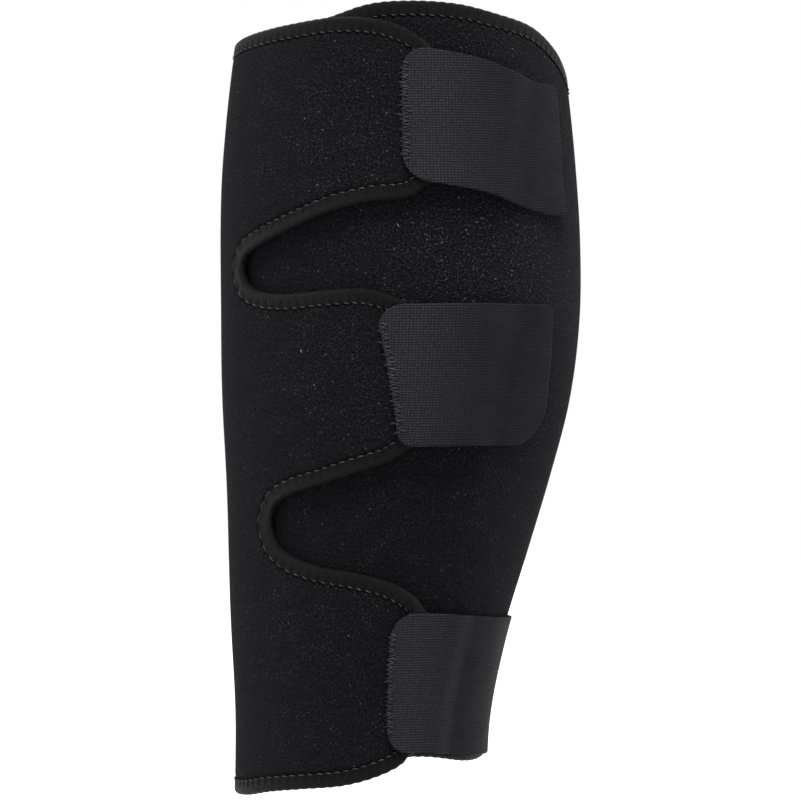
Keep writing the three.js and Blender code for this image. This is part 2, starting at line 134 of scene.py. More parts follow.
# The zigzag over a strap's sewn edge: from outside the edge to inside it, the wander along the strap, the
# wander along the edge as a share of the pitch, and the share of each corner that has no stitches
ZIGZAG_PITCH = 0.0017
ZIGZAG_OUTSIDE = -0.0006
ZIGZAG_INSIDE = 0.0024
ZIGZAG_WANDER = 0.00045
ZIGZAG_UNEVENNESS = 0.2
UNSEWN_CORNER = 0.8

# Where the zigzag starts to climb onto the strap, and over what length
STRAP_CLIMB_START = -0.0002
STRAP_CLIMB = 0.0008

PRESSED_THICKNESS = PANEL_THICKNESS + 2 * (BINDING_PROUD - TAPE_THICKNESS - CLEARANCE)
SECOND_TURN_LIFT = PANEL_THICKNESS + 2 * BINDING_PROUD + TURN_CLEARANCE

# The flat layout's length for each degree round the leg: its girth at the calf, taken as an ellipse
HALF_DEPTH, HALF_WIDTH = CALF_DEPTH / 2, CALF_WIDTH / 2
GIRTH = np.pi * (
    3 * (HALF_DEPTH + HALF_WIDTH)
    - np.sqrt((3 * HALF_DEPTH + HALF_WIDTH) * (HALF_DEPTH + 3 * HALF_WIDTH))
)
PER_DEGREE = GIRTH / 360


def table(names, *rows):
    """A table's columns by name."""
    return dict(zip(names.split(), np.array(rows, float).T))


LEG = table(
    "height shin calf side",
    (-0.5, 0.438, 0.222, 0.333),
    (-0.4, 0.44, 0.234, 0.346),
    (-0.3, 0.45, 0.282, 0.385),
    (-0.2, 0.458, 0.354, 0.425),
    (-0.1, 0.467, 0.425, 0.462),
    (0, 0.476, 0.487, 0.49),
    (0.1, 0.481, 0.517, 0.5),
    (0.2, 0.482, 0.518, 0.496),
    (0.3, 0.474, 0.501, 0.48),
    (0.4, 0.452, 0.475, 0.457),
    (0.5, 0.415, 0.445, 0.435),
)

# The panel's rims and notches: angles, and heights as shares of the sleeve's height
TOP_RIM = (
    (INNER_END_ANGLE, 0.43), (200, 0.436), (225, 0.45), (243, 0.467), (257, 0.48), (272, 0.483),
    (290, 0.4795), (306, 0.4695), (324, 0.457), (340, 0.434), (358, 0.403), (385, 0.393), (430, 0.425),
    (480, 0.442), (540, 0.444), (564, 0.451), (588, 0.4585), (606, 0.4635), (620, 0.4605), (629, 0.4515),
    (637, 0.435),
)
BOTTOM_RIM = (
    (INNER_END_ANGLE, -0.46), (220, -0.452), (270, -0.443), (300, -0.441), (330, -0.45), (360, -0.45),
    (400, -0.455), (450, -0.472), (500, -0.49), (540, -0.496), (564, -0.494), (584, -0.486),
    (602, -0.4805), (622, -0.4745), (637, -0.463), (648, -0.448),
)
NOTCHES = (
    {
        "end": (568.5, 0.16),
        "above": ((571, 0.175), (579, 0.188), (593, 0.207), (607, 0.226), (620, 0.237), (632, 0.242)),
        "below": ((571, 0.142), (578, 0.131), (590, 0.127), (605, 0.131), (618, 0.132), (627, 0.122)),
    },
    {
        "end": (583.5, -0.154),
        "above": ((586, -0.133), (592, -0.12), (606, -0.105), (618, -0.091), (629, -0.077)),
        "below": ((586, -0.175), (592, -0.19), (605, -0.204), (622, -0.213), (636, -0.225), (646, -0.243)),
    },
)

# Each end of a strap is (angle at its top, angle at its bottom), and its corners are (radius at the top,
# radius at the bottom), as shares of STRAP_WIDTH
STRAPS = (
    {
        "name": "strap_top", "width": 0.953 * STRAP_WIDTH, "neck": (641, 639), "tab_end": (665, 656),
        "sewn": (630, 630), "sewn_corners": (0.17, 0.17),
        "free": (694, 690), "free_corners": (0.057, 0.057), "corner_lift": 0.0014,
        "course": table(
            "angle height", (630, 0.345), (641, 0.34), (655, 0.33), (667, 0.317), (680, 0.306), (694, 0.303)
        ),
    },
    {
        "name": "strap_middle", "width": 1.01 * STRAP_WIDTH, "neck": (632, 636), "tab_end": (654, 651.5),
        "sewn": (622.5, 630), "sewn_corners": (0.15, 0.13),
        "free": (683, 686), "free_corners": (0.075, 0.264),
        "course": table("angle height", (622, 0.026), (650, 0.028), (686, 0.028)),
    },
    {
        "name": "strap_bottom", "width": STRAP_WIDTH, "neck": (652, 653), "tab_end": (662, 660),
        "sewn": (638, 640.5), "sewn_corners": (0.17, 0.17),
        "free": (744, 744), "free_corners": (0.094, 0.094),
        "course": table(
            "angle height", (638, -0.347), (656, -0.348), (672, -0.352), (700, -0.358), (744, -0.361)
        ),
    },
)

# Where the hooks have fluffed the loops up: angle, height, reach along the wrap, reach up and strength. The
# height and the reaches are shares of the sleeve's height.
FLUFFED = (
    (308, 0.2, 0.14, 0.07, 1.0), (318, 0.12, 0.12, 0.05, 0.7), (284, 0.16, 0.08, 0.06, 0.5),
    (325, -0.06, 0.07, 0.15, 0.3), (620, 0.3, 0.08, 0.14, 0.3), (597, 0.33, 0.1, 0.12, 0.12),
    (612, 0.02, 0.07, 0.1, 0.3), (602, -0.32, 0.12, 0.12, 0.3), (300, 0.44, 0.12, 0.05, 0.45),
)

# Lint: angle, height as a share of the sleeve's height, length, and slant in radians. Each fibre bends along
# the wrap and up by shares of its length, and lies over the nap.
LINT_BEND = (0.25, -0.2)
LINT_LIFT = 0.0002
LINT = (
    (596.8, 0.0570, 0.0012, 1.9), (601.8, 0.0157, 0.0007, 1.8), (267.7, 0.2086, 0.0014, 2.0),
    (289.5, 0.2031, 0.0008, 2.3), (597.2, 0.3400, 0.0006, 0.9), (621.4, -0.2892, 0.0006, 2.6),
)

# How finely the pieces are divided
TURN_COLUMNS = 184
TAB_COLUMNS = 66
NOTCH_COLUMNS = (7, 14)
TAB_ROWS = 44
ROUND_STEPS = 7
NOTCH_CROWDING = 1.25
CURVE_STEPS = 60
COLUMNS_PER_STITCH = 8
STRAP_ROWS = 62
STRAP_COLUMN = 0.0008
EDGE_STITCH_POINTS = 6
ZIGZAG_POINTS = 7
THREAD_SIDES = 6
LINT_POINTS = 7
LINT_SIDES = 5
EDGE_ROUND_STEPS = np.array([0, 0.03, 0.12, 0.3, 0.55, 0.8, 1])
CORNER_STEPS = np.array([0, 0.01, 0.04, 0.1, 0.2, 0.33, 0.5, 0.7, 0.85, 1])

# Flat points nearer than this are one. The materials' layout is in millimetres, shifted on the inner face.
SAME_POINT = 1e-7
MILLIMETRES = 1000
INNER_FACE_SHIFT = (0, 0, 40)


def mix(a, b, share):
    """From a at share 0 to b at share 1."""
    return a + (b - a) * share


def smooth(share):
    """A share from 0 to 1 with a soft start and end, held at both."""
    share = np.clip(share, 0, 1)
    return share * share * (3 - 2 * share)


def read(columns, along, name, at):
    """A column of a table between its rows, with a smooth curve through them."""
    x, y = columns[along], columns[name]
    rows = np.arange(len(x))
    before, after = np.maximum(rows - 1, 0), np.minimum(rows + 1, rows[-1])
    slope = (y[after] - y[before]) / (x[after] - x[before])
    at = np.clip(at, x[0], x[-1])
    row = np.clip(np.searchsorted(x, at, side="right") - 1, 0, len(x) - 2)
    span = x[row + 1] - x[row]
    t = (at - x[row]) / span
    bend = span * t * (t - 1) * ((t - 1) * slope[row] + t * slope[row + 1])
    return mix(y[row], y[row + 1], smooth(t)) + bend


def flat(rows):
    """Flat points, x along the wrap and z up, of (angle, height) rows."""
    return np.array([(angle * PER_DEGREE, height * SLEEVE_HEIGHT) for angle, height in rows])


# Soft unevenness of the whole wrap, alike in both turns, so that the layers stay apart
WAVES = [
    (rng.integers(1, 8), rng.uniform(15, 90), rng.uniform(0, 2 * np.pi), rng.uniform(0, 2 * np.pi))
    for _ in range(14)
]
WAVE_HEIGHT = 0.00009


def unevenness(angle, z):
    """How far the wrap is lifted at an angle in radians and a height in metres."""
    return WAVE_HEIGHT * sum(
        np.sin(turns * angle + turn_phase) * np.sin(rise * z + rise_phase)
        for turns, rise, turn_phase, rise_phase in WAVES
    )


def turn_lift(x):
    """How far the panel's inner face lies from the leg: nothing in the first turn, then the second's lift."""
    climb_end = INNER_END_ANGLE + 360 - CLIMB_MARGIN
    return SECOND_TURN_LIFT * smooth((x / PER_DEGREE - climb_end + CLIMB_ANGLE) / CLIMB_ANGLE)


def wrap(x, z, lift):
    """The real place of flat points, at a distance from the leg."""
    angle = np.radians(x / PER_DEGREE)
    height = z / SLEEVE_HEIGHT
    shin = read(LEG, "height", "shin", height) * CALF_DEPTH
    calf = read(LEG, "height", "calf", height) * CALF_DEPTH
    side = read(LEG, "height", "side", height) * CALF_WIDTH
    reach = (shin + calf) / 2
    cos, sin = np.cos(angle), np.sin(angle)
    out_x, out_y = side * (cos + BACK_ROUNDNESS * np.cos(2 * angle)), reach * sin
    length = np.hypot(out_x, out_y)
    lift = lift + unevenness(angle, z)
    return np.stack(
        [
            (calf - shin) / 2 + reach * cos + out_x / length * lift,
            side * sin * (1 + BACK_ROUNDNESS * cos) + out_y / length * lift,
            z + 0 * x,
        ],
        -1,
    )


def panel_place(points, lift):
    """The real place of flat points at a distance from the middle of the panel's thickness."""
    x, z = points[..., 0], points[..., 1]
    return wrap(x, z, turn_lift(x) + PANEL_THICKNESS / 2 + lift)


def stretch_at(points):
    """How many real metres a flat metre along the wrap is."""
    step = np.array([0.0005, 0])
    apart = panel_place(points + step, 0) - panel_place(points - step, 0)
    return np.linalg.norm(apart, axis=-1) / (2 * step[0])


class Curve:
    """A smooth curve through flat points, read by its flat length."""

    def __init__(self, points):
        points = np.asarray(points, float)
        ends = [2 * points[0] - points[1]], [2 * points[-1] - points[-2]]
        p = np.concatenate([ends[0], points, ends[1]])
        p0, p1, p2, p3 = p[:-3], p[1:-2], p[2:-1], p[3:]
        d0, d1, d2 = (
            np.sqrt(np.linalg.norm(b - a, axis=1))[:, None] for a, b in ((p0, p1), (p1, p2), (p2, p3))
        )
        t1 = ((p1 - p0) / d0 - (p2 - p0) / (d0 + d1) + (p2 - p1) / d1) * d1
        t2 = ((p2 - p1) / d1 - (p3 - p1) / (d1 + d2) + (p3 - p2) / d2) * d1
        t = np.linspace(0, 1, CURVE_STEPS, endpoint=False)[None, :, None]
        cubed = (2 * p1 - 2 * p2 + t1 + t2)[:, None]
        squared = (3 * p2 - 3 * p1 - 2 * t1 - t2)[:, None]
        line = (cubed * t**3 + squared * t**2 + t1[:, None] * t + p1[:, None]).reshape(-1, 2)
        self.set_line(np.concatenate([line, points[-1:]]))

    def set_line(self, line):
        self.line = line
        steps = np.linalg.norm(np.diff(line, axis=0), axis=1)
        self.along = np.concatenate([[0], np.cumsum(steps)])
        self.length = self.along[-1]

    def at(self, distance):
        return np.stack([np.interp(distance, self.along, self.line[:, k]) for k in (0, 1)], -1)

    def reversed(self):
        other = Curve.__new__(Curve)
        other.set_line(self.line[::-1])
        return other

    def from_point(self, point):
        """The part of the curve that follows the place where it passes a point."""
        start = np.argmin(np.linalg.norm(self.line - point, axis=1))
        other = Curve.__new__(Curve)
        other.set_line(self.line[start:])
        return other


def strap_edge(strap, side, angle):
    """A strap's upper (1) or lower (-1) edge."""
    middle = read(strap["course"], "angle", "height", angle) * SLEEVE_HEIGHT
    return np.stack([np.asarray(angle) * PER_DEGREE, middle + side * strap["width"] / 2], -1)


def tab_edge(strap, side):
    """Points on a tab's edge under its strap, from the tab's neck to its end."""
    neck, end = (strap[key][0 if side > 0 else 1] for key in ("neck", "tab_end"))
    return [strap_edge(strap, side, mix(neck, end, share)) for share in (0, 0.25, 1)]


def notch_side(notch, strap, side):
    """A tab's edge from the notch's end: the lower (-1) one above the notch, or the upper (1) one below."""
    rows, other = (notch["above"], notch["below"]) if side < 0 else (notch["below"], notch["above"])
    points = [*flat([other[0], notch["end"], *rows]), *tab_edge(strap, side)]
    return Curve(points).from_point(flat([notch["end"]])[0])


def quarter_round(before, after):
    """The round between two edges, as a function of the share from the first to the second."""
    sharp = after.at(0)
    start, finish = before.at(before.length - CORNER_RADIUS), after.at(CORNER_RADIUS)
    roundness = 0.55
    near_start, near_finish = mix(start, sharp, roundness), mix(finish, sharp, roundness)

    def at(share):
        s = np.asarray(share, float)[..., None]
        r = 1 - s
        return r**3 * start + 3 * r * r * s * near_start + 3 * r * s * s * near_finish + s**3 * finish

    return at


def mirrored(round_at):
    """The same round, from its end to its start."""
    return lambda share: round_at(1 - np.asarray(share, float))


def edge_points(curve, count, start_round=None, end_round=None, crowding=1):
    """Points from the middle of the round at an edge's start to the middle of the round at its end."""
    first = ROUND_STEPS if start_round else 0
    last = count - ROUND_STEPS if end_round else count
    low = CORNER_RADIUS if start_round else 0
    high = curve.length - CORNER_RADIUS if end_round else curve.length
    share = (np.arange(first, last + 1) - first) / (last - first)
    parts = [curve.at(mix(low, high, share**crowding))]
    if start_round:
        parts.insert(0, start_round(0.5 + 0.5 * np.arange(ROUND_STEPS) / ROUND_STEPS))
    if end_round:
        parts.append(end_round(0.5 * np.arange(1, ROUND_STEPS + 1) / ROUND_STEPS))
    return np.concatenate(parts)


def panel_outline():
    """The panel's outline as a closed loop, clockwise from outside, and where each stretch of it starts."""
    top = Curve([*flat(TOP_RIM), *tab_edge(STRAPS[0], 1)])
    bottom = Curve([*flat(BOTTOM_RIM), *tab_edge(STRAPS[2], -1)])
    back = Curve([flat(BOTTOM_RIM)[0], flat(TOP_RIM)[0]])
    above = [notch_side(notch, STRAPS[k], -1) for k, notch in enumerate(NOTCHES)]
    below = [notch_side(notch, STRAPS[k + 1], 1) for k, notch in enumerate(NOTCHES)]
    tab_tops, tab_bottoms = [top, *below], [*above, bottom]
    ends = [Curve([a.line[-1], b.line[-1]]) for a, b in zip(tab_tops, tab_bottoms)]
    back_bottom = quarter_round(bottom.reversed(), back)
    back_top = quarter_round(back, top)
    end_tops = [quarter_round(tab_tops[k], ends[k]) for k in range(3)]
    end_bottoms = [quarter_round(ends[k], tab_bottoms[k].reversed()) for k in range(3)]
    rim = TURN_COLUMNS + TAB_COLUMNS

    def notch_points(curve, k, end_round):
        return edge_points(curve, TAB_COLUMNS - NOTCH_COLUMNS[k], None, end_round, NOTCH_CROWDING)

    stretches = {
        "back": edge_points(back, 3 * TAB_ROWS, back_bottom, back_top),
        "top": edge_points(top, rim, back_top, end_tops[0]),
        "end0": edge_points(ends[0], TAB_ROWS, end_tops[0], end_bottoms[0]),
        "above0": notch_points(above[0], 0, mirrored(end_bottoms[0]))[::-1],
        "below0": notch_points(below[0], 0, end_tops[1]),
        "end1": edge_points(ends[1], TAB_ROWS, end_tops[1], end_bottoms[1]),
        "above1": notch_points(above[1], 1, mirrored(end_bottoms[1]))[::-1],
        "below1": notch_points(below[1], 1, end_tops[2]),
        "end2": edge_points(ends[2], TAB_ROWS, end_tops[2], end_bottoms[2]),
        "bottom": edge_points(bottom, rim, mirrored(back_bottom), mirrored(end_bottoms[2]))[::-1],
    }
    places, count = {}, 0
    for name, points in stretches.items():
        places[name] = (count, len(points) - 1)
        count += len(points) - 1
    return np.concatenate([points[:-1] for points in stretches.values()]), places


def inward_steps(loop):
    """For each point of the loop, the flat step that goes one real metre into the panel."""
    stretch = stretch_at(loop)[:, None]
    scale = np.concatenate([stretch, np.ones_like(stretch)], 1)
    leaving = (np.roll(loop, -1, 0) - loop) * scale
    arriving = (loop - np.roll(loop, 1, 0)) * scale
    leaving /= np.linalg.norm(leaving, axis=1, keepdims=True)
    arriving /= np.linalg.norm(arriving, axis=1, keepdims=True)
    along = arriving + leaving
    along /= np.linalg.norm(along, axis=1, keepdims=True)
    miter = 1 / np.maximum((along * leaving).sum(1), 0.5)
    return np.stack([along[:, 1] * miter / stretch[:, 0], -along[:, 0] * miter], 1)


def grid_between(bottom, top, left, right):
    """A grid between four edges, which it keeps. The sides run upwards, and rows from left to right."""
    u = np.linspace(0, 1, len(bottom))[None, :, None]
    v = np.linspace(0, 1, len(left))[:, None, None]
    across = mix(left[:, None], right[:, None], u)
    upwards = mix(bottom[None], top[None], v)
    corners = mix(mix(bottom[0], bottom[-1], u), mix(top[0], top[-1], u), v)
    return across + upwards - corners


def grid_quads(grid):
    """The corners of each face of a grid."""
    quads = np.stack([grid[:-1, :-1], grid[:-1, 1:], grid[1:, 1:], grid[1:, :-1]], 2)
    return quads.reshape(-1, 4, grid.shape[-1])


def line_between(a, b, steps):
    """Even points from a to b, both with it."""
    return mix(a, b, np.linspace(0, 1, steps + 1)[:, None])


def make_object(name, vertices, faces, material, layout=None):
    """A smooth-shaded mesh object. Layout is each vertex's place in its pattern, in millimetres."""
    mesh = bpy.data.meshes.new(name)
    mesh.from_pydata(np.asarray(vertices).tolist(), [], faces)
    mesh.validate()
    mesh.polygons.foreach_set("use_smooth", np.ones(len(mesh.polygons), bool))
    if layout is not None:
        attribute = mesh.attributes.new("layout", "FLOAT_VECTOR", "POINT")
        attribute.data.foreach_set("vector", np.asarray(layout, np.float32).ravel())
    mesh.materials.append(material)
    mesh.update()
    obj = bpy.data.objects.new(name, mesh)
    bpy.context.scene.collection.objects.link(obj)
    return obj


def turned_outwards(vertices, quads):
    """Four-sided faces with their corners in the order that faces out of the closed body."""
    a, b, c, d = (vertices[quads[:, k]] for k in range(4))
    volume = (a * np.cross(b, c)).sum() + (a * np.cross(c, d)).sum()
    return quads[:, ::-1] if volume < 0 else quads


def wall(name, quads, place, material, layout_origin=(0, 0)):
    """A closed wall with two faces, from flat quads whose corners are (x, z, thickness)."""
    corners = quads.reshape(-1, quads.shape[-1])
    keys = np.round(corners[:, :2] / SAME_POINT).astype(np.int64)
    _, first, number = np.unique(keys, axis=0, return_index=True, return_inverse=True)
    points, number = corners[first], number.ravel()
    count = len(points)
    outer = number.reshape(-1, 4)
    sides = np.concatenate([outer[:, [k, (k + 1) % 4]] for k in range(4)])
    forward = sides[:, 0] * count + sides[:, 1]
    backward = sides[:, 1] * count + sides[:, 0]
    free = sides[~np.isin(forward, backward)]
    strip = np.stack([free[:, 1], free[:, 0], free[:, 0] + count, free[:, 1] + count], 1)
    vertices = np.concatenate([place(points, 1), place(points, -1)])
    faces = turned_outwards(vertices, np.concatenate([outer, outer[:, ::-1] + count, strip]))
    pattern = (points[:, :2] - layout_origin) * MILLIMETRES
    layout = np.concatenate([pattern, np.zeros((count, 1))], 1)
    layout = np.concatenate([layout, layout + INNER_FACE_SHIFT])
    return make_object(name, vertices, faces.tolist(), material, layout)


OUTLINE, PLACES = panel_outline()
OUTLINE_STEPS = inward_steps(OUTLINE)


def fluff_at(points):
    """How fluffed the loops are, from 0 to 1, at flat points."""
    total = np.zeros(len(points))
    for angle, height, along, up, strength in FLUFFED:
        x = (points[:, 0] - angle * PER_DEGREE) / (along * SLEEVE_HEIGHT)
        z = (points[:, 1] - height * SLEEVE_HEIGHT) / (up * SLEEVE_HEIGHT)
        total += strength * np.exp(-(x * x + z * z))
    return np.clip(total, 0, 1)


def panel_grids(shoulder):
    """The panel inside its shoulder as four grids: the first turn, then the tabs from top to bottom."""

    def stretch(name):
        start, steps = PLACES[name]
        return shoulder[(start + np.arange(steps + 1)) % len(shoulder)]

    top, bottom = stretch("top"), stretch("bottom")[::-1]
    above = [stretch("above0")[::-1], stretch("above1")[::-1]]
    below = [stretch("below0"), stretch("below1")]
    ends = [stretch(f"end{k}")[::-1] for k in range(3)]

    # The column where the first turn meets the tabs, with a node on a level with each notch
    column_top, column_bottom = top[TURN_COLUMNS], bottom[TURN_COLUMNS]

    def column_at(z):
        return mix(column_bottom, column_top, (z - column_bottom[1]) / (column_top[1] - column_bottom[1]))

    starts = [column_at(points[0, 1]) for points in below]
    nodes = [column_bottom, starts[1], starts[0], column_top]
    parts = [line_between(nodes[k], nodes[k + 1], TAB_ROWS) for k in range(3)]
    column = np.concatenate([parts[0], parts[1][1:], parts[2][1:]])

    # The tabs' edges at the notches, each with a line from the column to the notch's end
    lines = [line_between(starts[k], above[k][0], NOTCH_COLUMNS[k]) for k in range(2)]
    tops = [np.concatenate([lines[k], above[k][1:]]) for k in range(2)]
    bottoms = [np.concatenate([lines[k], below[k][1:]]) for k in range(2)]
    first = slice(0, TURN_COLUMNS + 1)
    rest = slice(TURN_COLUMNS, None)
    return [
        grid_between(bottom[first], top[first], stretch("back"), column),
        grid_between(tops[0], top[rest], parts[2], ends[0]),
        grid_between(tops[1], bottoms[0], parts[1], ends[1]),
        grid_between(bottom[rest], bottoms[1], parts[0], ends[2]),
    ]


def make_panel(material):
    """The neoprene, pressed thin under the tape, with a shoulder where it swells back."""

    def ring(depth, thickness):
        points = OUTLINE + OUTLINE_STEPS * depth
        return np.concatenate([points, np.full((len(points), 1), thickness)], 1)

    rings = [ring(TAPE_THICKNESS + CLEARANCE, PRESSED_THICKNESS), ring(BINDING_WIDTH / 2, PRESSED_THICKNESS)]
    for step in SWELL_STEPS:
        swell = np.sin(step * np.pi / 2) ** SWELL_FULLNESS
        thickness = mix(PRESSED_THICKNESS, PANEL_THICKNESS, swell)
        rings.append(ring(mix(SWELL_START, SWELL_END, step), thickness))
    bands = [
        np.stack([a, b, np.roll(b, -1, 0), np.roll(a, -1, 0)], 1) for a, b in zip(rings[:-1], rings[1:])
    ]
    quads = np.concatenate([*bands, *(grid_quads(grid) for grid in panel_grids(rings[-1]))])
    panel = wall("panel_neoprene", quads, lambda p, side: panel_place(p[:, :2], side * p[:, 2] / 2), material)
    layout = np.empty(3 * len(panel.data.vertices), np.float32)
    panel.data.attributes["layout"].data.foreach_get("vector", layout)
    fluffed = fluff_at(layout.reshape(-1, 3)[:, :2] / MILLIMETRES)
    fluff = panel.data.attributes.new("fluff", "FLOAT", "POINT")
    fluff.data.foreach_set("value", fluffed.astype(np.float32))
    return panel


class EdgeRun:
    """The panel's outline by the real distance along it."""

    def __init__(self):
        real = panel_place(OUTLINE, 0)
        steps = np.linalg.norm(np.roll(real, -1, 0) - real, axis=1)
        self.along = np.concatenate([[0], np.cumsum(steps)])
        self.length = self.along[-1]
        closed = np.concatenate([OUTLINE, OUTLINE[:1]])
        self.columns = np.concatenate([closed, np.concatenate([OUTLINE_STEPS, OUTLINE_STEPS[:1]])], 1).T

    def at(self, distance, depth):
        """The flat point at a depth from the outline."""
        x, z, step_x, step_z = (np.interp(distance % self.length, self.along, c) for c in self.columns)
        return np.stack([x + step_x * depth, z + step_z * depth], -1)


EDGE = EdgeRun()
STITCHES = int(round(EDGE.length / EDGE_STITCH_PITCH))
STITCH_STEP = EDGE.length / STITCHES


def tape_section():
    """The folded tape's section as a loop of (depth from the outline, distance from the panel's middle)."""
    outside = PANEL_THICKNESS / 2 + BINDING_PROUD
    inside = outside - TAPE_THICKNESS
    fold = outside * FOLD_REACH
    face = [(BINDING_WIDTH - back, outside - under) for back, under in BORDER_ROUND]
    face += [(STITCH_DEPTH, outside), (fold * FACE_START, outside)]
    bend = [(fold * (1 - np.sin(a)), outside * np.cos(a)) for a in np.linspace(0, np.pi, FOLD_POINTS)]
    other_face = [(depth, -lift) for depth, lift in reversed(face)]
    lining = [(INNER_BORDER, -inside), (INNER_FOLD, -inside), (INNER_FOLD, inside), (INNER_BORDER, inside)]
    on_outside = len(face) + len(bend) + len(other_face)
    return np.array([*face, *bend, *other_face, *lining]), on_outside


def make_binding(material):
    """The folded tape: a U whose legs lie on both faces of the pressed edge, drawn in at each stitch."""
    section, on_outside = tape_section()
    depth, lift = section.T
    k = len(section)
    count = STITCHES * COLUMNS_PER_STITCH
    distance = np.arange(count) * EDGE.length / count
    pull = (0.5 + 0.5 * np.cos(2 * np.pi * (distance / STITCH_STEP - HOLE_SHARE)))[:, None] ** 2
    near_stitch = np.exp(-(((depth - STITCH_DEPTH) / PIT_REACH) ** 2)) * (np.arange(k) < on_outside)
    lifts = lift - np.sign(lift) * PIT_DEPTH * pull * near_stitch
    depths = depth + DRAW_IN * pull * np.exp(-depth / DRAW_IN_REACH)
    points = EDGE.at(distance[:, None], depths)
    vertices = panel_place(points, lifts).reshape(-1, 3)
    i, j = np.meshgrid(np.arange(count), np.arange(k), indexing="ij")
    i_next, j_next = (i + 1) % count, (j + 1) % k
    quads = np.stack([i * k + j, i_next * k + j, i_next * k + j_next, i * k + j_next], -1).reshape(-1, 4)
    across = np.concatenate([[0], np.cumsum(np.hypot(np.diff(depth), np.diff(lift)))])
    layout = np.stack([distance[:, None] + 0 * across, across + 0 * distance[:, None], 0 * lifts], -1)
    faces = turned_outwards(vertices, quads).tolist()
    return make_object("edge_binding", vertices, faces, material, layout.reshape(-1, 3) * MILLIMETRES)


def arched(share, rise, sink):
    """How far a stitch's middle line lies over the cloth, along its length."""
    return THREAD_RADIUS * (rise * np.sin(np.pi * share) ** STITCH_FULLNESS - sink)


def threads(paths, radius, sides, name, material):
    """Short threads as one mesh. Paths is (threads, points, 3), each tapering at its ends."""
    count, steps = paths.shape[:2]
    along = np.gradient(paths, axis=1)
    along /= np.linalg.norm(along, axis=2, keepdims=True)
    no_threads_way = np.broadcast_to(np.array([0.31, 0.17, 0.93]), along.shape)
    across = np.cross(along, no_threads_way)
    across /= np.linalg.norm(across, axis=2, keepdims=True)
    other = np.cross(along, across)
    turn = np.linspace(0, 2 * np.pi, sides, endpoint=False)
    share = np.linspace(0, 1, steps)
    thickness = radius * mix(THREAD_END, 1, np.sin(np.pi * share) ** THREAD_TAPER)[None, :, None, None]
    ring = np.cos(turn)[:, None] * across[:, :, None] + np.sin(turn)[:, None] * other[:, :, None]
    vertices = (paths[:, :, None] + thickness * ring).reshape(-1, 3)
    t, i, j = np.meshgrid(np.arange(count), np.arange(steps - 1), np.arange(sides), indexing="ij")
    j_next = (j + 1) % sides
    base = t * steps * sides
    corners = [base + i * sides + j, base + i * sides + j_next]
    corners += [base + (i + 1) * sides + j_next, base + (i + 1) * sides + j]
    quads = np.stack(corners, -1).reshape(-1, 4)
    starts = np.arange(count)[:, None] * steps * sides + np.arange(sides)
    caps = [*starts[:, ::-1].tolist(), *(starts + (steps - 1) * sides).tolist()]
    # The layout of a thread: along it, as if it were 3 mm long, round it from 0 to 1, and its number
    lengths, turns, numbers = np.broadcast_arrays(
        share[None, :, None] * 3, turn / (2 * np.pi), np.arange(count)[:, None, None]
    )
    layout = np.stack([lengths, turns, numbers], -1)
    return make_object(name, vertices, quads.tolist() + caps, material, layout.reshape(-1, 3))


def make_edge_stitches(material):
    """The stitching of the tape's inner border, on both faces."""
    start = (np.arange(STITCHES) * STITCH_STEP)[:, None]
    share = np.linspace(0, 1, EDGE_STITCH_POINTS)
    dash_start, dash_end = BINDING_WIDTH - DASH_SLANT, BINDING_WIDTH + DASH_SLANT
    sinking = EDGE_SINK * THREAD_RADIUS + LEG_SINK * PIT_DEPTH * share
    pieces = []
    for low, high, depth_low, depth_high, lift in (
        (0, DASH_SHARE, dash_start, dash_end, arched(share, EDGE_RISE, EDGE_SINK)),
        (DASH_SHARE, HOLE_SHARE, dash_end, STITCH_DEPTH, -sinking),
        (HOLE_SHARE, 1, STITCH_DEPTH, dash_start, -sinking[::-1]),
    ):
        wander = rng.normal(0, EDGE_WANDER, (STITCHES, 1))
        distance = start + mix(low, high, share) * STITCH_STEP + wander
        depth = mix(depth_low, depth_high, share)[None] + 0 * distance
        beside = smooth((depth - STITCH_DEPTH) / (NAP_START - STITCH_DEPTH))
        surface = PANEL_THICKNESS / 2 + mix(ON_TAPE, ON_NAP, beside)
        points = EDGE.at(distance, depth)
        pieces += [panel_place(points, side * (surface + lift)) for side in (1, -1)]
    return threads(np.concatenate(pieces), EDGE_THREAD_RADIUS, THREAD_SIDES, "edge_stitches", material)


